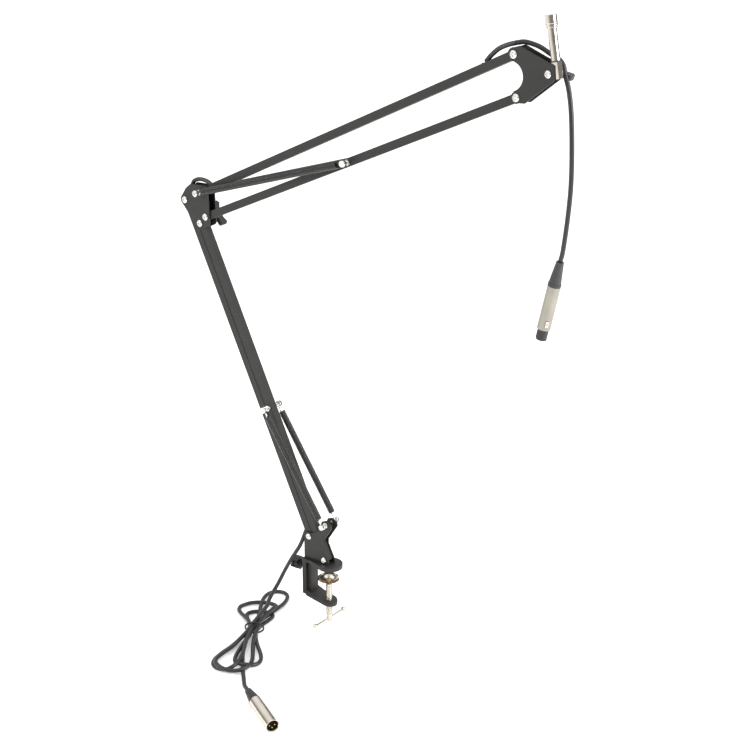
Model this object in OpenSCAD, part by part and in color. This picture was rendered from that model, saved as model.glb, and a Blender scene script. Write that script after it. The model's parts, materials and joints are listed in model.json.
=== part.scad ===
// Spring-balanced boom arm for a studio microphone: a desk clamp, two pairs of square steel
// bars, four tension springs, a tilting post with a thread adapter, and a built-in audio lead
// with a female connector at the head and a male connector at the base.
// Millimetres, +Z up. The origin is on the underside of the clamp's top jaw, on the clamp
// screw's axis. The arm stands in the XZ plane, it reaches along +X, and its pivots lie along Y.

/* [Arm bars] */
// Width of the square steel tube
bar_w = 12; // [10:0.5:12]
// Wall of the square steel tube
bar_wall = 1; // [0.8:0.1:1.5]
// Thickness of the side plates and of the base bracket's cheeks
plate_t = 2; // [1.5:0.5:3]
// Gap between a bar and each side plate
side_gap = 0.3; // [0.2:0.1:0.5]

/* [Pivots] */
// Radius of the pivot bolts
bolt_r = 2.5; // [2:0.25:3]
// Radius of the two bolts that carry a wing knob
stud_r = 3; // [2.5:0.25:3.5]
// Running clearance round a pivot bolt
run_gap = 0.06; // [0.02:0.01:0.1]
// Clearance round the head end bolt of the top bar, where the closed linkage is opened
open_gap = 2.15; // [2.05:0.05:2.4]

/* [Springs] */
// Outer radius of the spring coils
spring_r = 5.6; // [5:0.1:6]
// Distance of each spring from the arm's middle plane
spring_y = 16.5; // [16:0.5:18]
// Radius of the spring wire
wire_r = 1; // [0.8:0.1:1.2]
// Length of the straight hook between a pin and the coils
hook_len = 13; // [10:1:18]

/* [Clamp] */
// Thickness of the top jaw
jaw_t = 6.5; // [5:0.5:6.5]
// Radius of the clamp screw
screw_r = 4.6; // [4:0.1:5]
// Radius of the pressure pad
pad_r = 17.5; // [15:0.5:18]
// Tilt of the pressure pad on its ball, from level
pad_tilt = 55; // [0:5:55]
// Height of the pressure pad's ball, below the jaw
pad_z = -22; // [-26:1:-20]

/* [Head] */
// Lean of the microphone post, back from upright
post_lean = 10.6; // [0:0.2:20]
// Radius of the microphone post
post_r = 6; // [5:0.5:6]
// Radius of the 5/8 inch thread adapter
adapter_r = 7.94; // [7.9:0.01:8]

/* [Lead] */
// Diameter of the lead
lead_d = 6.5; // [6:0.1:6.5]
// Sides of the lead's tube
lead_sides = 10; // [8:1:12]

/* [Hidden] */
$fn = 64;

// Colours
paint_black = [0.07, 0.07, 0.08];
plastic_black = [0.04, 0.04, 0.045];
rubber_black = [0.05, 0.05, 0.055];
spring_black = [0.10, 0.10, 0.11];
bright_zinc = [0.80, 0.80, 0.82];
nickel = [0.78, 0.76, 0.70];
brass = [0.80, 0.65, 0.30];

// Pivots of the arm, as [x, z] in its middle plane
base_pivot_a = [-33, 46];
base_pivot_b = [-2.9, 12.7];
elbow_pivot_a = [-273.8, 558.8];
elbow_pivot_b = elbow_pivot_a + base_pivot_b - base_pivot_a;
elbow_pivot_top = [-240.5, 575.2];
elbow_pivot_bottom = [-231.3, 537.4];
head_pivot_top = [320.5, 835.1];
head_pivot_bottom = [326.2, 780.4];
tilt_pivot = [372.5, 814.6];

// Spring anchors
lower_pin = [-112.6, 246.2];
lower_anchor = [2, 76];
anchor_collar_r = 4.2;
upper_pin = [49.4, 659.7];

// Distances from the middle plane
bar_half = bar_w / 2;
plate_in = bar_half + side_gap;
plate_out = plate_in + plate_t;
spring_end_y = spring_y + 3.1;

// Bolt heads and nuts
head_h = 2.6;
nut_h = 3.2;
nut_r = 4.8;
washer_h = 1;

// Clamp
floor_z = -97.3;
spine_x0 = -44;
spine_x1 = -29;
spine_half_y = 13;
flange_x1 = -36.5;
core_half_y = 8.5;
top_jaw_r = 20;
top_jaw_x = 3;
low_jaw_r = 13.5;
spigot_x = -37.5;
spigot_r = 5;
spigot_z0 = -30;
bracket_z = jaw_t + 0.3;
lock_z = -12;
lock_r = 3;
knob_x0 = -72;
knob_x1 = -58;
screw_top_z = -31;
screw_end_z = -97;
handle_z = -92.5;
handle_r = 1.5;
handle_half = 36;
handle_ball_r = 3;
ball_r = 4;
neck_r = 1.4;
sight_turn = 37.1;

// Head
post_x = 8.6;
block_top = 13.8;
block_x1 = 13.6;
adapter_z0 = 59;
adapter_len = 13.6;

// Female connector: its boot's end on the lead, and its lean from hanging straight down
xlr_f_place = [397.2, 0, 571.7];
xlr_f_lean = 12.3;
xlr_f_boot_len = 35;
xlr_f_shell_end = 98;
xlr_f_nose_end = 114;
xlr_f_shell_r = 9.4;
xlr_f_nose_r = 7.7;
latch_turn = -135;
latch_z = 88;

// Male connector: its boot's end on the lead, and its heading on the table
xlr_m_place = [47, -249, -87];
xlr_m_heading = -28.3;
xlr_m_boot_len = 32;
xlr_m_end = 101;
xlr_m_shell_r = 10.2;
xlr_m_bore_r = 8.4;
contact_circle_r = 4;

// Route of the lead, from the base to the head
lead_r = lead_d / 2;
table_lay = floor_z + lead_r;
hank_h = 18;
tail_route = [
    [-43.5, 0, 54.5], [-46.5, -1, 47], [-49.5, -4, 35], [-53, -8, 23], [-60, -12, 9],
    [-67, -16, -5], [-80, -17, -29], [-90, -19, -50], [-95, -23, -62], [-97, -30, -71],
    [-94, -40, -76], [-88, -52, -78.5]
];
plug_route = [
    [-6, -201, table_lay], [10, -218, table_lay], [26, -234, -92.5], [38, -243.5, -88.5], [46.4, -248.6, -87]
];
loop_route = [
    [-259, 0, 535], [-260, 0, 545], [-262, 0, 556], [-265, 0, 568], [-266, 0, 579],
    [-260, 0, 589], [-248, 0, 593.5], [-236, 0, 593], [-229, 0, 591], [-222, 0, 587.2]
];
bar_exit_route = [[274, 0, 821], [282, 0, 830], [293, 0, 839], [306, 0, 845], [320, 1, 849]];
head_route = [
    [321.3, 1.4, 849.4], [331, 4, 850.2], [348, 8, 845.7], [360, 10.4, 839.2],
    [370, 10.8, 834.3], [377, 10.8, 831.3], [383.3, 10.8, 824], [386.5, 10, 814],
    [394.5, 7.5, 794], [402, 3, 766], [407, 0, 721], [408, 0, 675], [405.5, 0, 632],
    [400.8, 0, 588.5], [397.4, 0, 572.5]
];
// Runs inside the bars, as [distance along the bar, distance off its axis]
lower_run = [[13.8, 5.2], [18, 3], [24, 1.3], [32, 0.4], [60, 0], [500, 0], [522, -0.5], [534, -2]];
upper_run = [[25, 1.8], [31, 0.6], [38, 0], [530, 0], [548, 0.6], [556, 1.6], [565, 4.4]];

// ---------------------------------------------------------------- helpers

// Places a shape at a point of the arm's middle plane
module at(p) {
    translate([p[0], 0, p[1]]) children();
}

// Turns a shape drawn along +X so that it starts at a and points to b
module along(a, b) {
    at(a) rotate([0, -atan2(b[1] - a[1], b[0] - a[0]), 0]) children();
}

// A round rod along Y
module y_rod(p, r, y0, y1) {
    translate([p[0], y0, p[1]]) rotate([-90, 0, 0]) cylinder(r = r, h = y1 - y0);
}

// A flat outline drawn in X and Z, made solid between two distances from the middle plane
module y_plate(y0, y1) {
    translate([0, y1, 0]) rotate([90, 0, 0]) linear_extrude(y1 - y0) children();
}

// A pan-head bolt along Y with a cross recess; the head's underside is at y0
module bolt(p, shank_r, head_r, y0, y1) {
    difference() {
        union() {
            y_rod(p, shank_r, y0, y1);
            y_rod(p, head_r, y0 - head_h * 0.55, y0);
            at(p) translate([0, y0 - head_h * 0.55, 0]) rotate([90, 0, 0])
                cylinder(r1 = head_r, r2 = head_r * 0.72, h = head_h * 0.45);
        }
        for (turn = [0, 90])
            at(p) translate([0, y0 - head_h, 0]) rotate([0, turn, 0])
                cube([head_r * 1.1, head_h * 1.1, head_r * 0.22], center = true);
    }
}

// A hexagon nut along Y; the shaft fills its thread
module nut(p, shank_r, y0) {
    difference() {
        translate([p[0], y0, p[1]]) rotate([-90, 30, 0]) cylinder(r = nut_r, h = nut_h, $fn = 6);
        y_rod(p, shank_r + run_gap, y0 - 1, y0 + nut_h + 1);
    }
}

// A flat washer along Y
module washer(p, shank_r, r, y0, h) {
    difference() {
        y_rod(p, r, y0, y0 + h);
        y_rod(p, shank_r + run_gap, y0 - 1, y0 + h + 1);
    }
}

// A square tube with rounded ends between two pivots, with a pivot hole at each end.
// Its children are cut away, drawn with the bar along +X from its first pivot.
module bar(a, b, hole_a, hole_b) {
    span = norm(b - a);
    inner = bar_w - 2 * bar_wall;
    along(a, b) difference() {
        y_plate(-bar_half, bar_half) union() {
            translate([0, -bar_half]) square([span, bar_w]);
            circle(bar_half);
            translate([span, 0]) circle(bar_half);
        }
        translate([-bar_w, -inner / 2, -inner / 2]) cube([span + 2 * bar_w, inner, inner]);
        y_rod([0, 0], hole_a, -bar_w, bar_w);
        y_rod([span, 0], hole_b, -bar_w, bar_w);
        children();
    }
}

// A slot for the lead through one wall of a bar: side 1 is the bar's upper or back wall
module lead_slot(x0, x1, side) {
    width = lead_d + 1;
    translate([0, 0, side * bar_half - 2.5]) linear_extrude(5) union() {
        translate([x0 + width / 2, -width / 2]) square([x1 - x0 - width, width]);
        translate([x0 + width / 2, 0]) circle(width / 2);
        translate([x1 - width / 2, 0]) circle(width / 2);
    }
}

// A tension spring between two pins: its coils as one smooth cylinder, a hook at each end
module spring(a, b, y) {
    span = norm(b - a);
    loop_r = bolt_r + wire_r + 0.15;
    along(a, b) translate([0, y, 0]) {
        translate([hook_len, 0, 0]) rotate([0, 90, 0]) cylinder(r = spring_r, h = span - 2 * hook_len);
        for (x = [0, span]) {
            dir = x == 0 ? 1 : -1;
            translate([x, 0, 0]) rotate([90, 0, 0]) rotate_extrude() translate([loop_r, 0]) circle(wire_r);
            translate([x + dir * loop_r, 0, 0]) rotate([0, dir * 90, 0])
                cylinder(r = wire_r, h = hook_len - loop_r + 0.5);
        }
    }
}

// The two-winged knob of a tension stud, on the far side of the arm
module wing_knob(p, turn) {
    y0 = plate_out + washer_h + 0.2;
    difference() {
        at(p) rotate([0, -turn, 0]) union() {
            y_rod([0, 0], 8, y0, 17);
            translate([0, 0, -3.5]) linear_extrude(7) union() {
                polygon([
                    [-7.5, 14.2], [7.5, 14.2], [15.5, 15.2], [19.8, 19], [19.6, 26], [15.5, 29.3],
                    [8, 25], [-8, 25], [-15.5, 29.3], [-19.6, 26], [-19.8, 19], [-15.5, 15.2]
                ]);
                for (side = [-1, 1])
                    translate([side * 15.7, 19.4]) circle(4.1);
            }
        }
        y_rod(p, stud_r + run_gap, y0 - 1, 22.2);
    }
}

function unit(v) = v / norm(v);
function route_dir(pts, i) =
    unit(pts[min(i + 1, len(pts) - 1)] - pts[max(i - 1, 0)]);
function ring(p, dir, side, r) =
    let (a = unit(cross(side, dir)), b = cross(dir, a))
    [for (k = [0:lead_sides - 1]) p + r * (cos(k * 360 / lead_sides) * a + sin(k * 360 / lead_sides) * b)];

// The lead as a tube swept along a route; side is a direction that the route never follows
module lead_tube(pts, side) {
    n = len(pts);
    s = lead_sides;
    points = [for (i = [0:n - 1]) each ring(pts[i], route_dir(pts, i), side, lead_r)];
    walls = [for (i = [0:n - 2], k = [0:s - 1])
        [i * s + k, (i + 1) * s + k, (i + 1) * s + (k + 1) % s, i * s + (k + 1) % s]];
    start = [for (k = [0:s - 1]) k];
    end = [for (k = [s - 1:-1:0]) (n - 1) * s + k];
    polyhedron(points = points, faces = concat([start], walls, [end]));
}

// Points of a run inside a bar, worked out in the arm's plane
function bar_run(a, b, run) =
    let (u = unit(b - a), v = [-u[1], u[0]])
    [for (q = run) let (p = a + q[0] * u + q[1] * v) [p[0], 0, p[1]]];

// ---------------------------------------------------------------- clamp

module clamp_frame() {
    color(paint_black) difference() {
        union() {
            y_plate(-spine_half_y, spine_half_y) polygon([
                [spine_x0, jaw_t], [spine_x0, -56], [flange_x1, -57], [flange_x1, 1], [-20, 1], [-20, jaw_t]
            ]);
            y_plate(-core_half_y, core_half_y) polygon([
                [spine_x0 + 1, 2], [spine_x0 + 1, -56], [spine_x1, -58.5], [spine_x1, 2]
            ]);
            y_plate(-core_half_y, core_half_y) polygon([[spine_x1 - 1, 2], [-21, 2], [spine_x1 - 1, -8]]);
            linear_extrude(jaw_t) union() {
                translate([top_jaw_x, 0]) circle(top_jaw_r);
                polygon([
                    [spine_x1, -spine_half_y], [-3, -19], [top_jaw_x, -top_jaw_r],
                    [top_jaw_x, top_jaw_r], [-3, 19], [spine_x1, spine_half_y]
                ]);
            }
            intersection() {
                y_plate(-low_jaw_r, low_jaw_r) polygon([
                    [flange_x1 - 1, -58.4], [flange_x1 - 1, -48], [-22, -54], [15, -61.5], [15, -67]
                ]);
                translate([0, 0, -80]) linear_extrude(60) union() {
                    circle(low_jaw_r);
                    translate([flange_x1 - 1, -low_jaw_r]) square([1 - flange_x1, 2 * low_jaw_r]);
                }
            }
        }
        translate([0, 0, -80]) cylinder(r = screw_r + run_gap, h = 40);
        translate([spigot_x, 0, spigot_z0 - 1]) cylinder(r = spigot_r + run_gap, h = 60);
        translate([-60, 0, lock_z]) rotate([0, 90, 0]) cylinder(r = lock_r + run_gap, h = 60 + spigot_x);
    }
}

module clamp_screw() {
    color(nickel) difference() {
        union() {
            translate([0, 0, screw_end_z + 1]) cylinder(r = screw_r, h = screw_top_z - screw_end_z - 1);
            translate([0, 0, screw_end_z]) cylinder(r1 = screw_r - 1, r2 = screw_r, h = 1);
        }
        translate([0, 0, screw_top_z - 6]) cylinder(r = 3 + run_gap, h = 7);
        y_rod([0, handle_z], handle_r + run_gap, -20, 20);
    }
}

// The ball-ended rivet that carries the pressure pad; its stem turns in the screw's end
module pad_rivet() {
    color(brass) union() {
        translate([0, 0, screw_top_z - 5.5]) cylinder(r = 3, h = 5.5);
        translate([0, 0, screw_top_z]) cylinder(r = 3.6, h = 1.2);
        translate([0, 0, screw_top_z]) cylinder(r = neck_r, h = pad_z - screw_top_z);
        translate([0, 0, pad_z]) sphere(ball_r);
    }
}

// A pressed dish on the ball, tipped so that its underside looks out of the clamp's near side
module pressure_pad() {
    color(nickel) translate([0, 0, pad_z]) rotate([0, 0, sight_turn]) rotate([-pad_tilt, 0, 0])
        difference() {
            rotate_extrude() polygon([
                [0, 5.4], [6.5, 5.4], [9.5, 3.4], [pad_r - 1, 3.4], [pad_r, 2.4], [pad_r, -0.6],
                [pad_r - 1.3, -0.6], [pad_r - 1.3, 1.6], [9.2, 1.6], [6.3, -1.8], [0, -1.8]
            ]);
            sphere(ball_r + 0.08);
            translate([0, 0, -10]) cylinder(r1 = 2.7 + 10 * tan(pad_tilt), r2 = 2.7, h = 10);
        }
}

module screw_handle() {
    color(nickel) y_rod([0, handle_z], handle_r, -handle_half, handle_half);
}

module handle_ends() {
    color(nickel) for (side = [-1, 1])
        difference() {
            translate([0, side * handle_half, handle_z]) sphere(handle_ball_r);
            y_rod([0, handle_z], handle_r, -handle_half, handle_half);
        }
}

module lock_thumbscrew() {
    color(plastic_black) translate([knob_x0, 0, lock_z]) rotate([0, 90, 0]) union() {
        cylinder(r1 = 7, r2 = 9, h = 2);
        translate([0, 0, 2]) cylinder(r = 9, h = knob_x1 - knob_x0 - 2);
        for (turn = [0:60:300])
            rotate([0, 0, turn]) translate([8.3, 0, 1]) cylinder(r = 3.2, h = knob_x1 - knob_x0 - 1);
        cylinder(r = 5.5, h = knob_x1 - knob_x0 + 4);
        cylinder(r = lock_r, h = spigot_x - spigot_r - 0.2 - knob_x0);
    }
}

// ---------------------------------------------------------------- base bracket

module swivel_spigot() {
    color(bright_zinc) translate([spigot_x, 0, 0]) union() {
        translate([0, 0, spigot_z0]) cylinder(r = spigot_r, h = bracket_z - spigot_z0);
        cylinder(r = 3, h = bracket_z + plate_t);
        translate([0, 0, bracket_z + plate_t]) cylinder(r1 = 5, r2 = 3.5, h = 1.6);
    }
}

module cheek_outline() {
    polygon([
        [-43, bracket_z], [-43, 48], [-40, 52], [-26, 54], [-15, 60], [-6, 80], [1.7, 83],
        [12, 78], [13, 72], [-5.5, 44], [-5.5, 37], [6.5, 12], [6.5, bracket_z]
    ]);
}

module base_bracket() {
    color(paint_black) difference() {
        union() {
            y_plate(-plate_out, -plate_in) cheek_outline();
            y_plate(plate_in, plate_out) cheek_outline();
            translate([-43, -plate_out, bracket_z]) cube([28, 2 * plate_out, plate_t]);
        }
        y_rod(base_pivot_a, bolt_r + run_gap, -20, 20);
        y_rod(base_pivot_b, bolt_r + run_gap, -20, 20);
        y_rod(lower_anchor, bolt_r + run_gap, -20, 20);
        translate([spigot_x, 0, 0]) cylinder(r = 3 + run_gap, h = 20);
    }
}

module base_bolts() {
    color(bright_zinc) for (p = [base_pivot_a, base_pivot_b])
        bolt(p, bolt_r, 5, -plate_out, plate_out + washer_h + nut_h + 0.6);
}

module base_nuts() {
    color(bright_zinc) for (p = [base_pivot_a, base_pivot_b])
        nut(p, bolt_r, plate_out + washer_h);
}

module base_washers() {
    color(bright_zinc) for (p = [base_pivot_a, base_pivot_b])
        washer(p, bolt_r, 5, plate_out, washer_h);
}

// The rod through the bracket's ears that holds the foot of each lower spring
module lower_spring_anchors() {
    color(bright_zinc) for (side = [0, 1]) mirror([0, side, 0]) union() {
        y_rod(lower_anchor, bolt_r, plate_in, spring_end_y);
        y_rod(lower_anchor, anchor_collar_r, plate_out, plate_out + 2);
        y_rod(lower_anchor, anchor_collar_r, spring_end_y, spring_end_y + 1.6);
    }
}

// ---------------------------------------------------------------- lower arm

module lower_bar_a() {
    color(paint_black) bar(base_pivot_a, elbow_pivot_a, bolt_r + run_gap, bolt_r + run_gap) {
        lead_slot(5, 27, 1);
        lead_slot(522, 563, -1);
    }
}

module lower_bar_b() {
    color(paint_black) difference() {
        bar(base_pivot_b, elbow_pivot_b, bolt_r + run_gap, bolt_r + run_gap);
        y_rod(lower_pin, bolt_r + run_gap, -bar_w, bar_w);
    }
}

// A pin through a bar with a spring on each end
module spring_pin(p) {
    union() {
        y_rod(p, bolt_r, -spring_end_y, spring_end_y);
        for (side = [-1, 1]) {
            y_rod(p, 4.4, side > 0 ? bar_half : -bar_half - 4, side > 0 ? bar_half + 4 : -bar_half);
            y_rod(p, 4.8, side > 0 ? spring_end_y : -spring_end_y - 2, side > 0 ? spring_end_y + 2 : -spring_end_y);
        }
    }
}

module lower_spring_pin() {
    color(bright_zinc) spring_pin(lower_pin);
}

module lower_spring_near() {
    color(spring_black) spring(lower_pin, lower_anchor, -spring_y);
}

module lower_spring_far() {
    color(spring_black) spring(lower_pin, lower_anchor, spring_y);
}

// ---------------------------------------------------------------- elbow

module elbow_outline() {
    union() {
        polygon([
            [-279, 551.5], [-264, 534], [-256, 520.6], [-250.5, 518.8], [-239.5, 517], [-225.5, 523.5],
            [-223, 527.5], [-223, 547], [-224.8, 574], [-226.4, 586.5], [-261, 585.6],
            [-271, 578], [-281.8, 562.8]
        ]);
        translate(elbow_pivot_a) circle(9);
        translate(elbow_pivot_b) circle(9.5);
    }
}

module elbow_plate(y0) {
    color(paint_black) difference() {
        y_plate(y0, y0 + plate_t) elbow_outline();
        for (p = [elbow_pivot_a, elbow_pivot_b, elbow_pivot_top])
            y_rod(p, bolt_r + run_gap, y0 - 1, y0 + plate_t + 1);
        y_rod(elbow_pivot_bottom, stud_r + run_gap, y0 - 1, y0 + plate_t + 1);
    }
}

module elbow_plate_near() {
    elbow_plate(-plate_out);
}

module elbow_plate_far() {
    elbow_plate(plate_in);
}

module elbow_bolts() {
    color(bright_zinc) for (p = [elbow_pivot_a, elbow_pivot_b])
        bolt(p, bolt_r, 5.4, -plate_out, plate_out + nut_h + 0.6);
}

module elbow_nuts() {
    color(bright_zinc) {
        nut(elbow_pivot_a, bolt_r, plate_out);
        nut(elbow_pivot_b, bolt_r, plate_out);
        nut(elbow_pivot_top, bolt_r, plate_out);
        nut(elbow_pivot_top, bolt_r, -plate_out - nut_h);
        nut(elbow_pivot_top, bolt_r, spring_end_y);
    }
}

module elbow_stud() {
    color(bright_zinc) bolt(elbow_pivot_bottom, stud_r, 5.4, -plate_out, 22);
}

module elbow_knob_washer() {
    color(bright_zinc) washer(elbow_pivot_bottom, stud_r, 8, plate_out, washer_h);
}

module elbow_wing_knob() {
    color(plastic_black) wing_knob(elbow_pivot_bottom, -61);
}

// The long bolt that the top bar turns on and that both upper springs pull on
module upper_spring_bolt() {
    color(bright_zinc) bolt(elbow_pivot_top, bolt_r, 5, -spring_end_y, spring_end_y + nut_h + 0.6);
}

// ---------------------------------------------------------------- upper arm

module upper_bar_top() {
    color(paint_black) bar(elbow_pivot_top, head_pivot_top, bolt_r + run_gap, bolt_r + open_gap) {
        lead_slot(9, 33, 1);
        lead_slot(550, 585, 1);
    }
}

module upper_bar_bottom() {
    color(paint_black) difference() {
        bar(elbow_pivot_bottom, head_pivot_bottom, stud_r + run_gap, bolt_r + run_gap);
        y_rod(upper_pin, bolt_r + run_gap, -bar_w, bar_w);
    }
}

module upper_spring_pin() {
    color(bright_zinc) spring_pin(upper_pin);
}

module upper_spring_near() {
    color(spring_black) spring(elbow_pivot_top, upper_pin, -spring_y);
}

module upper_spring_far() {
    color(spring_black) spring(elbow_pivot_top, upper_pin, spring_y);
}

// ---------------------------------------------------------------- head

module head_outline() {
    difference() {
        union() {
            translate(head_pivot_top) circle(9);
            translate(head_pivot_bottom) circle(8);
            polygon([
                [322, 786], [330.5, 773.6], [339.3, 774], [380.8, 806.3], [381.8, 809],
                [380.2, 825.6], [376.5, 827.4], [328.4, 846.6], [315.5, 842.5], [322, 828]
            ]);
        }
        translate([316, 807]) circle(19.5);
    }
}

module head_plate(y0) {
    color(paint_black) difference() {
        y_plate(y0, y0 + plate_t) head_outline();
        for (p = [head_pivot_top, head_pivot_bottom])
            y_rod(p, bolt_r + run_gap, y0 - 1, y0 + plate_t + 1);
        y_rod(tilt_pivot, stud_r + run_gap, y0 - 1, y0 + plate_t + 1);
    }
}

module head_plate_near() {
    head_plate(-plate_out);
}

module head_plate_far() {
    head_plate(plate_in);
}

module head_bolts() {
    color(bright_zinc) for (p = [head_pivot_top, head_pivot_bottom])
        bolt(p, bolt_r, 5.4, -plate_out, plate_out + nut_h + 0.6);
}

module head_nuts() {
    color(bright_zinc) for (p = [head_pivot_top, head_pivot_bottom])
        nut(p, bolt_r, plate_out);
}

module tilt_stud() {
    color(bright_zinc) bolt(tilt_pivot, stud_r, 5, -plate_out, 22);
}

module tilt_washer() {
    color(bright_zinc) washer(tilt_pivot, stud_r, 8, plate_out, washer_h);
}

module head_wing_knob() {
    color(plastic_black) wing_knob(tilt_pivot, -20);
}

// Draws in the tilting head's own frame: origin at the tilt pivot, +Z along the post
module on_tilt() {
    at(tilt_pivot) rotate([0, -post_lean, 0]) children();
}

module tilt_block() {
    color(nickel) on_tilt() difference() {
        union() {
            translate([-7, -bar_half, -7.5]) cube([block_x1 + 7, bar_w, block_top + 7.5]);
            y_rod([0, 0], 7.5, -bar_half, bar_half);
        }
        y_rod([0, 0], stud_r + run_gap, -bar_w, bar_w);
        translate([post_x, 0, block_top - 9]) cylinder(r = 4 + run_gap, h = 20);
        translate([-bar_w, -bar_w, block_top]) rotate([0, 45, 0]) cube([7, 2 * bar_w, 14], center = false);
    }
}

module mic_post() {
    color(nickel) on_tilt() translate([post_x, 0, 0]) union() {
        translate([0, 0, block_top - 8.5]) cylinder(r = 4, h = 12);
        translate([0, 0, block_top + 1.8]) cylinder(r = post_r, h = adapter_z0 - block_top - 1.8);
        translate([0, 0, adapter_z0 - 3]) cylinder(r = 7, h = 3);
        translate([0, 0, adapter_z0]) cylinder(r = 4.7, h = 6);
    }
}

module post_ring() {
    color(rubber_black) on_tilt() translate([post_x, 0, block_top]) difference() {
        cylinder(r = post_r + 0.4, h = 1.8);
        translate([0, 0, -1]) cylinder(r = 4 + run_gap, h = 4);
    }
}

// The adapter that the microphone's clip screws on: 5/8 inch outside, 3/8 inch inside
module thread_adapter() {
    color(nickel) on_tilt() translate([post_x, 0, adapter_z0]) difference() {
        union() {
            cylinder(r = adapter_r, h = adapter_len - 0.6);
            translate([0, 0, adapter_len - 0.6]) cylinder(r1 = adapter_r, r2 = adapter_r - 0.6, h = 0.6);
        }
        translate([0, 0, -1]) cylinder(r = 4.7 + run_gap, h = 7.1);
        translate([0, 0, 5]) cylinder(r = 4.2, h = 20);
    }
}

// ---------------------------------------------------------------- lead

module lead_lower_run() {
    color(rubber_black) lead_tube(bar_run(base_pivot_a, elbow_pivot_a, lower_run), [0, 1, 0]);
}

module lead_elbow_loop() {
    color(rubber_black) lead_tube(loop_route, [0, 1, 0]);
}

module lead_upper_run() {
    color(rubber_black) lead_tube(bar_run(elbow_pivot_top, head_pivot_top, upper_run), [0, 1, 0]);
}

module lead_head() {
    color(rubber_black) lead_tube(head_route, [0, 1, 0]);
}

module lead_bar_exit() {
    color(rubber_black) lead_tube(bar_exit_route, [0, 1, 0]);
}

module lead_tail() {
    color(rubber_black) lead_tube(tail_route, [1, 0, 0]);
}

module lead_plug_run() {
    color(rubber_black) lead_tube(plug_route, [0, 0, 1]);
}

// The loops of spare lead as one closed solid with round corners, waisted at the tie
module lead_hank() {
    color(rubber_black) translate([0, 0, floor_z]) linear_extrude(hank_h) union() {
        hull() {
            for (p = [[-115, 18], [-120, -30], [-116, -52], [-64, -50], [-62, -92], [-86, -100]])
                translate(p) circle(8, $fn = 32);
        }
        hull() {
            for (p = [[-86, -100], [-62, -92], [-11, -184], [-16, -221], [-35, -219], [-66, -194], [-74, -166]])
                translate(p) circle(8, $fn = 32);
        }
    }
}

module hank_tie() {
    color(plastic_black) translate([-73, -96, floor_z + hank_h]) rotate([0, 0, 20]) difference() {
        translate([-14, -4, 0]) cube([28, 8, 2.2]);
        translate([-1.5, -5, 1.2]) cube([3, 10, 2]);
    }
}

// ---------------------------------------------------------------- female connector

module on_xlr_f() {
    translate(xlr_f_place) rotate([0, 180 + xlr_f_lean, 0]) children();
}

module xlr_f_boot() {
    color(rubber_black) on_xlr_f() union() {
        cylinder(r1 = 5.2, r2 = 9, h = xlr_f_boot_len);
        translate([0, 0, xlr_f_boot_len - 4]) cylinder(r = 9.1, h = 4);
        translate([0, 0, xlr_f_boot_len]) cylinder(r = 7.4, h = 5);
    }
}

module xlr_f_shell() {
    z0 = xlr_f_boot_len;
    color(nickel) on_xlr_f() difference() {
        translate([0, 0, z0]) cylinder(r1 = 9.1, r2 = xlr_f_shell_r, h = xlr_f_shell_end - z0);
        translate([0, 0, z0 - 1]) cylinder(r = 8, h = xlr_f_shell_end - z0 + 2);
        rotate([0, 0, latch_turn]) translate([5, -2.6, latch_z - 4.6]) cube([8, 5.2, 9.2]);
    }
}

module xlr_f_insert() {
    color(plastic_black) on_xlr_f() difference() {
        union() {
            translate([0, 0, 46]) cylinder(r = 7.9, h = xlr_f_shell_end - 46);
            translate([0, 0, 90]) cylinder(r = xlr_f_nose_r, h = xlr_f_nose_end - 90);
        }
        for (turn = [0, 90, 180])
            rotate([0, 0, turn + 45]) translate([contact_circle_r, 0, xlr_f_nose_end - 14]) cylinder(r = 1.8, h = 20);
        rotate([0, 0, latch_turn]) translate([4.5, -2.8, latch_z - 5]) cube([8, 5.6, 10]);
        rotate([0, 0, -45]) translate([6.6, -1.5, xlr_f_nose_end - 12]) cube([3, 3, 20]);
    }
}

// The three sockets inside the nose
module xlr_f_contacts() {
    color(brass) on_xlr_f() for (turn = [0, 90, 180])
        rotate([0, 0, turn + 45]) translate([contact_circle_r, 0, xlr_f_nose_end - 14]) difference() {
            cylinder(r = 1.75, h = 13);
            translate([0, 0, 1]) cylinder(r = 1.3, h = 20);
        }
}

// The press-in latch that frees the connector
module xlr_f_latch() {
    color(nickel) on_xlr_f() rotate([0, 0, latch_turn]) union() {
        translate([6.6, -2.3, latch_z - 4.3]) cube([3.6, 4.6, 8.6]);
        translate([10.2, -1.6, latch_z - 1.2]) cube([0.6, 3.2, 1]);
        translate([10.2, -1.6, latch_z + 0.8]) cube([0.6, 3.2, 1]);
    }
}

// ---------------------------------------------------------------- male connector

module on_xlr_m() {
    translate(xlr_m_place) rotate([0, 90, xlr_m_heading]) children();
}

module xlr_m_boot() {
    color(rubber_black) on_xlr_m() difference() {
        union() {
            cylinder(r1 = 5.2, r2 = 9.2, h = xlr_m_boot_len);
            translate([0, 0, xlr_m_boot_len]) cylinder(r = 7.8, h = 5);
        }
        for (z = [6:5:26])
            translate([0, 0, z]) difference() {
                cylinder(r = 12, h = 1.6);
                translate([0, 0, -1]) cylinder(r = 4.4 + z * 0.125, h = 4);
            }
    }
}

module xlr_m_shell() {
    color(nickel) on_xlr_m() difference() {
        union() {
            translate([0, 0, xlr_m_boot_len]) cylinder(r = 9.8, h = 24);
            translate([0, 0, xlr_m_boot_len + 24]) cylinder(r = xlr_m_shell_r, h = xlr_m_end - xlr_m_boot_len - 24);
        }
        translate([0, 0, xlr_m_boot_len - 1]) cylinder(r = xlr_m_bore_r, h = xlr_m_end - xlr_m_boot_len + 2);
        translate([0, 0, xlr_m_end - 1]) cylinder(r1 = xlr_m_bore_r, r2 = xlr_m_bore_r + 1, h = 1.2);
    }
}

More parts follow.
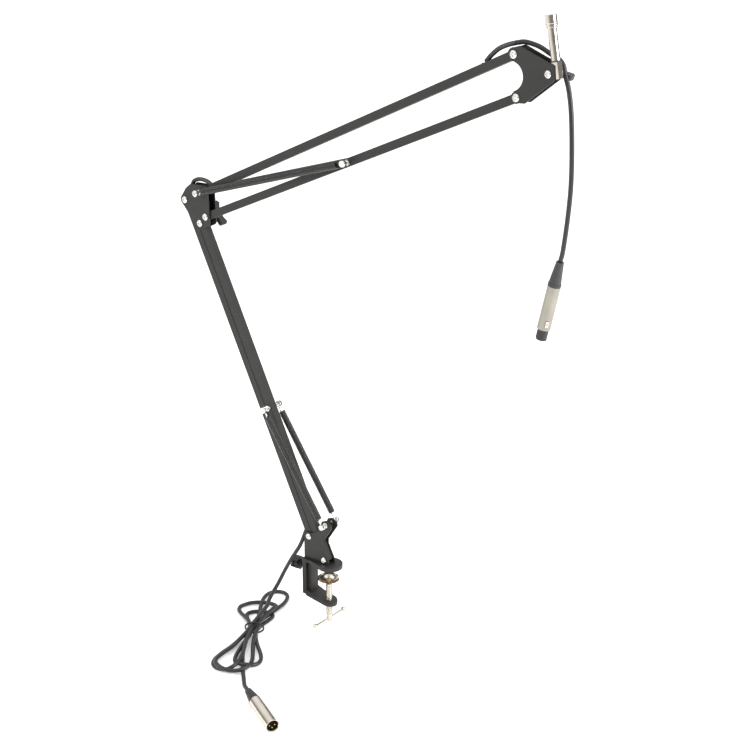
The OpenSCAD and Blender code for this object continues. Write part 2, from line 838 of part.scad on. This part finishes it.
module xlr_m_insert() {
    color(plastic_black) on_xlr_m() difference() {
        translate([0, 0, 66]) cylinder(r = xlr_m_bore_r - 0.05, h = 18);
        for (turn = [0, 90, 180])
            rotate([0, 0, turn - 90]) translate([contact_circle_r, 0, 60]) cylinder(r = 1.2, h = 30);
    }
}

module xlr_m_pins() {
    color(brass) on_xlr_m() for (turn = [0, 90, 180])
        rotate([0, 0, turn - 90]) translate([contact_circle_r, 0, 61]) union() {
            cylinder(r = 1.19, h = 36);
            translate([0, 0, 36]) cylinder(r1 = 1.19, r2 = 0.6, h = 1.2);
        }
}

clamp_frame();
clamp_screw();
pad_rivet();
pressure_pad();
screw_handle();
handle_ends();
lock_thumbscrew();
swivel_spigot();
base_bracket();
base_bolts();
base_nuts();
base_washers();
lower_spring_anchors();
lower_bar_a();
lower_bar_b();
lower_spring_pin();
lower_spring_near();
lower_spring_far();
elbow_plate_near();
elbow_plate_far();
elbow_bolts();
elbow_nuts();
elbow_stud();
elbow_knob_washer();
elbow_wing_knob();
upper_spring_bolt();
upper_bar_top();
upper_bar_bottom();
upper_spring_pin();
upper_spring_near();
upper_spring_far();
head_plate_near();
head_plate_far();
head_bolts();
head_nuts();
tilt_stud();
tilt_washer();
head_wing_knob();
tilt_block();
mic_post();
post_ring();
thread_adapter();
lead_lower_run();
lead_elbow_loop();
lead_upper_run();
lead_head();
lead_bar_exit();
lead_tail();
lead_hank();
hank_tie();
lead_plug_run();
xlr_f_boot();
xlr_f_shell();
xlr_f_insert();
xlr_f_contacts();
xlr_f_latch();
xlr_m_boot();
xlr_m_shell();
xlr_m_insert();
xlr_m_pins();
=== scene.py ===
"""Spring-balanced microphone boom arm on a white table, seen from its near side and its head end."""
import json
import math

import bpy
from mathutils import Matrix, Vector


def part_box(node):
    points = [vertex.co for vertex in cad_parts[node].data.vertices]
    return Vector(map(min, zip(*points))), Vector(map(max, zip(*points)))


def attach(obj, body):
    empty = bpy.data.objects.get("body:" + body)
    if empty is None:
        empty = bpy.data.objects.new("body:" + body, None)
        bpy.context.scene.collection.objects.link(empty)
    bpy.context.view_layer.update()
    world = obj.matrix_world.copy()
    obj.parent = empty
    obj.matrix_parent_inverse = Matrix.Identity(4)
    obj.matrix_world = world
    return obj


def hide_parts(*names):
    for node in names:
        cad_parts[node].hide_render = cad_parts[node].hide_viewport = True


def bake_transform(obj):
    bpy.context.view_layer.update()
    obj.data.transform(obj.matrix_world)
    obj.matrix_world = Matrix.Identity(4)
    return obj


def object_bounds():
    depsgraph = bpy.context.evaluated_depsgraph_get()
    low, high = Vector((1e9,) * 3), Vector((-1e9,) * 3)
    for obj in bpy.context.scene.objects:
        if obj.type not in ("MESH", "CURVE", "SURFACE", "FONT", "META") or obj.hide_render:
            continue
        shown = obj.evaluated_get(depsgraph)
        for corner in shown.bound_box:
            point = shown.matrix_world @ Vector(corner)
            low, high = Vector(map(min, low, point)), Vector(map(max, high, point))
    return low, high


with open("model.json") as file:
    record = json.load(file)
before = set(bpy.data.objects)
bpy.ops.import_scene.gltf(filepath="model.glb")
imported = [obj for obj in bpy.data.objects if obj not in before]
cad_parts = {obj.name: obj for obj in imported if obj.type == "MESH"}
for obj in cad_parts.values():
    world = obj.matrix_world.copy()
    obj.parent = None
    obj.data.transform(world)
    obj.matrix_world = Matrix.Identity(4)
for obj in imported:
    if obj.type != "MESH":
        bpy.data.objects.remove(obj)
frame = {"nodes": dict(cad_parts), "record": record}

CAD_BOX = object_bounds()
MM = 0.001

# ---------------------------------------------------------------- camera

camera_data = bpy.data.cameras.new("camera")
camera_data.lens = 72
camera_data.sensor_width = 36
camera_data.clip_end = 100
camera = bpy.data.objects.new("camera", camera_data)
camera.location = (1.3482, -1.6592, 1.1155)
camera.rotation_euler = (math.radians(69.695), 0, math.radians(37.118))
bpy.context.collection.objects.link(camera)
bpy.context.scene.camera = camera
bpy.context.scene.view_settings.view_transform = "Standard"

# ---------------------------------------------------------------- materials


def principled(name):
    """A new material, with its node tree and its shader."""
    material = bpy.data.materials.new(name)
    material.use_nodes = True
    tree = material.node_tree
    shader = next(n for n in tree.nodes if n.type == "BSDF_PRINCIPLED")
    return material, tree, shader


def noise(tree, scale, detail=4.0, stretch=None):
    """Noise over the object's own coordinates, stretched along an axis where asked."""
    coord = tree.nodes.new("ShaderNodeTexCoord")
    texture = tree.nodes.new("ShaderNodeTexNoise")
    texture.inputs["Scale"].default_value = scale
    texture.inputs["Detail"].default_value = detail
    if stretch is None:
        tree.links.new(coord.outputs["Object"], texture.inputs["Vector"])
    else:
        mapping = tree.nodes.new("ShaderNodeMapping")
        mapping.inputs["Scale"].default_value = stretch
        tree.links.new(coord.outputs["Object"], mapping.inputs["Vector"])
        tree.links.new(mapping.outputs["Vector"], texture.inputs["Vector"])
    return texture


def ramp(tree, source, low, high, start=0.3, end=0.7):
    """A blend from low to high colours as source's value climbs."""
    node = tree.nodes.new("ShaderNodeValToRGB")
    node.color_ramp.elements[0].position = start
    node.color_ramp.elements[1].position = end
    node.color_ramp.elements[0].color = (*low, 1)
    node.color_ramp.elements[1].color = (*high, 1)
    tree.links.new(source, node.inputs["Fac"])
    return node


def finish_material(name, colour, vary, rough, metal=0.0, grain=900.0, bump=0.15, depth=0.1 * MM,
                    stretch=None, broad=40.0, specular=0.5):
    """A painted, moulded or plated surface: cloudy colour, uneven gloss and a fine grain."""
    material, tree, shader = principled(name)
    cloud = noise(tree, broad)
    low = [c * (1 - vary) for c in colour]
    high = [min(1, c * (1 + vary)) for c in colour]
    tint = ramp(tree, cloud.outputs["Fac"], low, high)
    tree.links.new(tint.outputs["Color"], shader.inputs["Base Color"])
    fine = noise(tree, grain, 3.0, stretch)
    gloss = tree.nodes.new("ShaderNodeMapRange")
    gloss.inputs["To Min"].default_value = rough[0]
    gloss.inputs["To Max"].default_value = rough[1]
    tree.links.new(fine.outputs["Fac"], gloss.inputs["Value"])
    tree.links.new(gloss.outputs["Result"], shader.inputs["Roughness"])
    relief = tree.nodes.new("ShaderNodeBump")
    relief.inputs["Strength"].default_value = bump
    relief.inputs["Distance"].default_value = depth
    tree.links.new(fine.outputs["Fac"], relief.inputs["Height"])
    tree.links.new(relief.outputs["Normal"], shader.inputs["Normal"])
    shader.inputs["Metallic"].default_value = metal
    shader.inputs["Specular IOR Level"].default_value = specular
    return material


MATERIALS = {
    "black_paint": finish_material("satin black powder coat", (0.014, 0.0138, 0.0125), 0.15, (0.40, 0.6),
                                   grain=1400, bump=0.35, specular=0.45),
    "cast_black": finish_material("black paint on the clamp", (0.016, 0.015, 0.014), 0.25, (0.38, 0.66),
                                  grain=700, bump=0.4, specular=0.45),
    "spring_black": finish_material("black coated wire", (0.03, 0.03, 0.028), 0.2, (0.18, 0.32),
                                    grain=2200, bump=0.2, specular=0.5),
    "zinc": finish_material("bright zinc plate", (0.72, 0.71, 0.69), 0.06, (0.16, 0.34), metal=1.0,
                            grain=1800, bump=0.12),
    "nickel": finish_material("satin nickel plate", (0.62, 0.575, 0.50), 0.07, (0.14, 0.26), metal=1.0,
                              grain=900, bump=0.1, stretch=(1, 1, 0.08)),
    "rivet_brass": finish_material("dull brass", (0.34, 0.24, 0.13), 0.2, (0.3, 0.5), metal=1.0, bump=0.2),
    "contact": finish_material("bright brass", (0.83, 0.62, 0.27), 0.08, (0.12, 0.28), metal=1.0, bump=0.08),
    "black_plastic": finish_material("moulded black plastic", (0.014, 0.014, 0.014), 0.2, (0.34, 0.52),
                                     grain=1600, bump=0.25),
    "black_rubber": finish_material("matte black rubber", (0.045, 0.045, 0.045), 0.2, (0.42, 0.6),
                                    grain=1200, bump=0.3, specular=0.4),
    "lead_jacket": finish_material("satin black jacket", (0.015, 0.015, 0.0155), 0.15, (0.3, 0.46),
                                   grain=1500, bump=0.15, broad=90),
}

# The female connector's shell takes a darker copy of the nickel finish: painted shade standing in for the
# darker reflections on it
SHADED_NICKEL = finish_material("nickel plate darkened as painted shade", (0.31, 0.29, 0.25), 0.1, (0.12, 0.24), metal=1.0,
                         grain=900, bump=0.1, stretch=(1, 1, 0.08))

slot_of = {part["node"]: part["material_slot"] for part in frame["record"]["subparts"]}
for node, cad in frame["nodes"].items():
    finish = SHADED_NICKEL if node == "xlr_f_shell" else MATERIALS[slot_of[node]]
    if not cad.data.materials:
        cad.data.materials.append(finish)
    for place in range(len(cad.data.materials)):
        cad.data.materials[place] = finish

# ---------------------------------------------------------------- shapes


def metres(points):
    """Millimetre points as vectors in metres."""
    return [Vector(p) * MM for p in points]


def smooth_line(points, step=2.5 * MM):
    """Points along a smooth curve through all the given points."""
    padded = [2 * points[0] - points[1], *points, 2 * points[-1] - points[-2]]
    line = []
    for p0, p1, p2, p3 in zip(padded, padded[1:], padded[2:], padded[3:]):
        count = max(2, round((p2 - p1).length / step))
        for k in range(count):
            t = k / count
            line.append(0.5 * (2 * p1 + (p2 - p0) * t + (2 * p0 - 5 * p1 + 4 * p2 - p3) * t**2
                               + (3 * p1 - p0 - 3 * p2 + p3) * t**3))
    line.append(points[-1].copy())
    return line


def mesh_object(name, vertices, faces, slot):
    """A smooth-shaded mesh with the finish of a material slot."""
    mesh = bpy.data.meshes.new(name)
    mesh.from_pydata([tuple(v) for v in vertices], [], faces)
    mesh.materials.append(MATERIALS[slot])
    mesh.validate()
    mesh.shade_smooth()
    piece = bpy.data.objects.new(name, mesh)
    bpy.context.collection.objects.link(piece)
    return piece


def swept(name, line, radius, slot, sides=16):
    """A closed tube along a line."""
    ahead = [(b - a).normalized() for a, b in zip(line, line[1:])]
    tangents = [ahead[0]] + [(a + b).normalized() for a, b in zip(ahead, ahead[1:])] + [ahead[-1]]
    side = tangents[0].orthogonal().normalized()
    vertices = []
    for point, tangent in zip(line, tangents):
        side = (side - side.dot(tangent) * tangent).normalized()
        other = tangent.cross(side)
        for k in range(sides):
            turn = 2 * math.pi * k / sides
            vertices.append(point + radius * (math.cos(turn) * side + math.sin(turn) * other))
    faces = []
    for i in range(len(line) - 1):
        for k in range(sides):
            a, b = i * sides + k, i * sides + (k + 1) % sides
            faces.append((a, b, b + sides, a + sides))
    last = (len(line) - 1) * sides
    faces.append(tuple(reversed(range(sides))))
    faces.append(tuple(range(last, last + sides)))
    return mesh_object(name, vertices, faces, slot)


# ---------------------------------------------------------------- cords

LEAD_MM = 6.5
LEAD_D = LEAD_MM * MM


def lead(name, route):
    """A stretch of the lead along a route in millimetres."""
    line = smooth_line(metres(route))
    piece = swept(name, line, LEAD_D / 2, "lead_jacket")
    return piece


# From the top bar's end up to the head
BAR_EXIT = [[274, 0, 821], [282, 0, 830], [293, 0, 839], [306, 0, 845], [320, 1, 849]]
bar_exit = lead("lead_out_of_the_top_bar", BAR_EXIT)
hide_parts("lead_bar_exit")
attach(bar_exit, "top_bar")

# Over the head and down to the microphone's connector
HEAD = [
    [320, 1, 849], [331, 4, 850.2], [348, 8, 845.7], [360, 10.4, 839.2],
    [370, 10.8, 834.3], [377, 10.8, 831.3], [383.3, 10.8, 824], [386.5, 10, 814],
    [394.5, 7.5, 794], [402, 3, 766], [407, 0, 721], [408, 0, 675], [405.5, 0, 632],
    [400.8, 0, 588.5], [397.4, 0, 572.5],
]
head_lead = lead("lead_to_the_microphone", HEAD)
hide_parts("lead_head")
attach(head_lead, "head")

# Out of the lower bar, behind the elbow and into the top bar
ELBOW_LOW = [[-259, 0, 535], [-260, 0, 545], [-262, 0, 556], [-265, 0, 568], [-266, 0, 579]]
ELBOW_HIGH = [[-266, 0, 579], [-260, 0, 589], [-248, 0, 593.5],
              [-236, 0, 593], [-229, 0, 591], [-222, 0, 587.2]]
loop_low = lead("lead_behind_the_elbow", ELBOW_LOW)
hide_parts("lead_elbow_loop")
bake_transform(loop_low)
loop_high = lead("lead_over_the_elbow", ELBOW_HIGH)
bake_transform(loop_high)

# Out of the lower bar's foot
FOOT = [[-43.5, 0, 54.5], [-46.5, -1, 47], [-49.5, -4, 35], [-53, -8, 23], [-60, -12, 9]]
foot_lead = lead("lead_out_of_the_foot", FOOT)
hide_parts("lead_tail")
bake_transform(foot_lead)

# Down to the table, through the hank's turns and on to the plug
TAIL = [
    [-60, -12, 9], [-67, -16, -5], [-80, -17, -29], [-90, -19, -50], [-95, -23, -62], [-97, -30, -71],
    [-94, -40, -76], [-88, -52, -78.5],
]
PLUG_RUN = [[10, -218, -94], [26, -234, -92.5], [38, -243.5, -88.5], [47, -249, -87]]
WAIST = Vector((-69, -105, 0))
TABLE_LAY = -94
# Each loop's heading from +X in degrees, its reach from the tie and its half width
LOOPS = [(-68, 124, 24), (127, 92, 26), (-72, 120, 18), (112, 135, 18), (-55, 104, 18), (119, 64, 18)]
# How far to the side of the tie's middle each pass through it lies
PASSES = [3.5, 7, 7, 0.5, 3.5, 3.5, 7]
LOOP_STEPS = 60
EXIT_STEPS = 28
# Points nearer than this along the lead count as neighbours, not as a turn that lies under it
NEIGHBOURS = 4
SMOOTHED = 5
KEEP_EVERY = 3


def wound_lead():
    """The hank's turns out of the tie and back, then the run to the plug. The plug's end lies lowest,
    and every turn rests on the ones under it."""
    plan = []
    for k, (heading, reach, half) in enumerate(LOOPS):
        angle = math.radians(heading)
        ahead = Vector((math.cos(angle), math.sin(angle), 0))
        right = Vector((math.sin(angle), -math.cos(angle), 0))
        for step in range(LOOP_STEPS):
            t = math.pi * (step + 0.5) / LOOP_STEPS
            share = (1 - math.cos(t)) / 2
            squeeze = PASSES[k] * (1 - share) - PASSES[k + 1] * share
            bulge = 1.3 * half * math.sin(2 * t) * math.sin(t)
            plan.append(WAIST + reach * math.sin(t) * ahead + (squeeze + bulge) * right)
    start, bend, end = plan[-1], Vector((-52, -158, 0)), Vector(PLUG_RUN[0])
    for step in range(1, EXIT_STEPS):
        t = step / EXIT_STEPS
        plan.append((1 - t)**2 * start + 2 * t * (1 - t) * bend + t**2 * end)
    for i in reversed(range(len(plan))):
        rest = TABLE_LAY
        for other in plan[i + NEIGHBOURS:]:
            gap = (plan[i].xy - other.xy).length
            if gap < LEAD_MM:
                rest = max(rest, other.z + math.sqrt(LEAD_MM**2 - gap**2))
        plan[i].z = rest
    heights = [point.z for point in plan]
    for i, point in enumerate(plan):
        near = heights[max(0, i - SMOOTHED):i + SMOOTHED + 1]
        point.z = sum(near) / len(near)
    return plan[::KEEP_EVERY]


TIE_PLACE = (-69, -104, -87.5)
TIE_ACROSS = (0.86, 0.5, 0)
TIE_HALF_WIDTH, TIE_HALF_HEIGHT, TIE_R = 15 * MM, 9 * MM, 1.3 * MM
TIE_STEPS = 40


def twist_tie():
    """A round black tie in one ring about the hank's waist."""
    middle = Vector(TIE_PLACE) * MM
    across = Vector(TIE_ACROSS)
    up = Vector((0, 0, 1))
    ring = [middle + math.cos(t) * TIE_HALF_WIDTH * across + math.sin(t) * TIE_HALF_HEIGHT * up
            for t in (2 * math.pi * k / TIE_STEPS for k in range(TIE_STEPS + 1))]
    return swept("twist_tie", ring, TIE_R, "black_plastic", sides=8)


tie = twist_tie()
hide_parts("hank_tie")
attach(tie, "clamp")
tail_route = TAIL + wound_lead() + PLUG_RUN
tail_lead = lead("lead_with_its_hank", tail_route)
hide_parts("lead_hank", "lead_plug_run")
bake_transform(tail_lead)

# ---------------------------------------------------------------- springs

WIRE_R = 1.0 * MM
COIL_R = 4.6 * MM
HOOK = 13 * MM
PITCH = 2.12 * MM
STEPS = 14
EYE_R = 4.2 * MM
EYE_STEPS = 24
EYE_START, EYE_SWEEP = -140, 280
NECK_START, NECK_RISE, NECK_OFFSET = 6 * MM, 1.2 * MM, 3 * MM


def spring(name, start, end, y, bodies, node, hook_slot, swing=None):
    """A close-wound coil with a hook at each end, from start to end in the plane at y. The coil swings as a
    body of its own, or stays where it is built, and each hook goes with the body that holds it."""
    a, b = Vector((start[0], y, start[1])) * MM, Vector((end[0], y, end[1])) * MM
    ahead = (b - a).normalized()
    side = Vector((0, 1, 0))
    up = ahead.cross(side)
    first, last = a + HOOK * ahead, b - HOOK * ahead
    turns = round((last - first).length / PITCH)
    line = []
    for k in range(turns * STEPS + 1):
        turn = 2 * math.pi * k / STEPS
        along = first + (last - first) * k / (turns * STEPS)
        line.append(along + COIL_R * (math.cos(turn) * side + math.sin(turn) * up))
    coil = swept(name, line, WIRE_R, "spring_black", sides=6)
    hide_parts(node)
    if swing:
        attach(coil, swing)
    else:
        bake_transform(coil)
    ends = (("start", a, ahead, swing or bodies[0]), ("end", b, -ahead, bodies[1]))
    for end_name, eye, inward, body in ends:
        hook = []
        for k in range(EYE_STEPS + 1):
            turn = math.radians(EYE_START + EYE_SWEEP * k / EYE_STEPS)
            hook.append(eye - EYE_R * (math.cos(turn) * inward) + EYE_R * math.sin(turn) * up)
        neck = [eye + NECK_START * inward + NECK_RISE * up, eye + HOOK * inward + NECK_OFFSET * up]
        hook_piece = swept(f"{name}_hook_{end_name}", hook + smooth_line(neck), WIRE_R, hook_slot, sides=8)
        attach(hook_piece, body)


LOWER_PIN, LOWER_ANCHOR = (-112.6, 246.2), (2, 76)
UPPER_PIN, UPPER_BOLT = (49.4, 659.7), (-240.5, 575.2)
SPRING_Y = 16.5
for word, y in (("near", -SPRING_Y), ("far", SPRING_Y)):
    spring(f"lower_spring_coil_{word}", LOWER_ANCHOR, LOWER_PIN, y, ("base", "bar_b"),
           f"lower_spring_{word}", "zinc", "lower_springs")
    spring(f"upper_spring_coil_{word}", UPPER_BOLT, UPPER_PIN, y, ("elbow", "bottom_bar"),
           f"upper_spring_{word}", "spring_black")

# ---------------------------------------------------------------- screw thread


THREAD_PITCH, THREAD_R, THREAD_STEPS = 1.5 * MM, 0.38 * MM, 20
THREAD_ABOVE, THREAD_BELOW = 11 * MM, 1.5 * MM


def screw_thread():
    """The rolled thread on the clamp screw, as a raised helix."""
    low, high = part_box("clamp_screw")
    radius = (high.x - low.x) / 2
    bottom, top = low.z + THREAD_ABOVE, high.z - THREAD_BELOW
    line = []
    for k in range(round((top - bottom) / THREAD_PITCH * THREAD_STEPS) + 1):
        turn = 2 * math.pi * k / THREAD_STEPS
        height = bottom + THREAD_PITCH * k / THREAD_STEPS
        line.append(Vector((radius * math.cos(turn), radius * math.sin(turn), height)))
    thread = swept("clamp_screw_thread", line, THREAD_R, "nickel", sides=6)
    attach(thread, "screw")


screw_thread()


HOOP_STEPS = 48


def hoop(name, centre, axis, radius, thick, slot, body):
    """A thin raised ring round an axis."""
    side = axis.orthogonal().normalized()
    other = axis.cross(side)
    ring = [centre + radius * (math.cos(t) * side + math.sin(t) * other)
            for t in (2 * math.pi * k / HOOP_STEPS for k in range(HOOP_STEPS + 1))]
    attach(swept(name, ring, thick, slot, sides=8), body)


BALL_R = 3.8 * MM
BALL_INSET = 3 * MM


def handle_balls():
    """The two turned balls that stop the T-bar in the clamp screw."""
    low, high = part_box("handle_ends")
    middle = (low + high) / 2
    for label, y in (("near", low.y + BALL_INSET), ("far", high.y - BALL_INSET)):
        bpy.ops.mesh.primitive_uv_sphere_add(segments=32, ring_count=20, radius=BALL_R,
                                             location=(middle.x, y, middle.z))
        ball = bpy.context.object
        ball.name = f"t_bar_ball_{label}"
        ball.data.materials.append(MATERIALS["nickel"])
        ball.data.shade_smooth()
        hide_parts("handle_ends")
        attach(ball, "handle")


handle_balls()

POST_LEAN = math.radians(10.6)
POST_AXIS = Vector((-math.sin(POST_LEAN), 0, math.cos(POST_LEAN)))
POST_OFFSET = 8.6 * MM * Vector((math.cos(POST_LEAN), 0, math.sin(POST_LEAN)))
POST_FOOT = Vector((372.5, 0, 814.6)) * MM + POST_OFFSET
BEAD_R = 0.55 * MM
# Each raised bead's height up the post and its radius
for label, height, radius in (("low", 57, 7.1), ("high", 61.5, 7.95)):
    hoop(f"adapter_bead_{label}", POST_FOOT + height * MM * POST_AXIS, POST_AXIS, radius * MM,
         BEAD_R, "nickel", "post")

# ---------------------------------------------------------------- table and light

floor_z = CAD_BOX[0].z
bpy.ops.mesh.primitive_plane_add(size=60, location=(0, 10, floor_z - 0.05 * MM))
floor = bpy.context.object
floor.name = "table"
material, tree, shader = principled("white table")
speck = noise(tree, 8.0)
shade = ramp(tree, speck.outputs["Fac"], (0.9, 0.9, 0.9), (0.94, 0.94, 0.94))
tree.links.new(shade.outputs["Color"], shader.inputs["Base Color"])
shader.inputs["Roughness"].default_value = 0.85
shader.inputs["Specular IOR Level"].default_value = 0.1
shader.inputs["Emission Color"].default_value = (1, 1, 1, 1)
shader.inputs["Emission Strength"].default_value = 0.3
floor.data.materials.append(material)

world = bpy.data.worlds.new("studio")
world.use_nodes = True
tree = world.node_tree
backdrop = tree.nodes["Background"]
backdrop.inputs["Strength"].default_value = 1.0
sky = tree.nodes.new("ShaderNodeTexCoord")
split = tree.nodes.new("ShaderNodeSeparateXYZ")
tree.links.new(sky.outputs["Generated"], split.inputs["Vector"])
# White overhead, grey walls: the walls give the plated parts something darker to reflect
walls = ramp(tree, split.outputs["Z"], (0.16, 0.155, 0.15), (1.25, 1.25, 1.25), 0.12, 0.55)
tree.links.new(walls.outputs["Color"], backdrop.inputs["Color"])
# Past the table's edge the eye sees plain white
plain = tree.nodes.new("ShaderNodeBackground")
plain.inputs["Color"].default_value = (1, 1, 1, 1)
rays = tree.nodes.new("ShaderNodeLightPath")
choose = tree.nodes.new("ShaderNodeMixShader")
tree.links.new(rays.outputs["Is Camera Ray"], choose.inputs[0])
tree.links.new(backdrop.outputs["Background"], choose.inputs[1])
tree.links.new(plain.outputs["Background"], choose.inputs[2])
tree.links.new(choose.outputs["Shader"], tree.nodes["World Output"].inputs["Surface"])
bpy.context.scene.world = world


def softbox(name, place, target, size, power):
    """A square area light that looks at a point."""
    light = bpy.data.lights.new(name, "AREA")
    light.shape = "SQUARE"
    light.size = size
    light.energy = power
    lamp = bpy.data.objects.new(name, light)
    lamp.location = place
    heading = Vector(target) - Vector(place)
    lamp.rotation_euler = heading.to_track_quat("-Z", "Y").to_euler()
    bpy.context.collection.objects.link(lamp)


softbox("softbox_left", (-1.3, -1.9, 1.6), (0, 0, 0.4), 0.8, 24)
softbox("softbox_right", (2.6, 0.5, 1.3), (0.1, 0, 0.45), 1.3, 60)
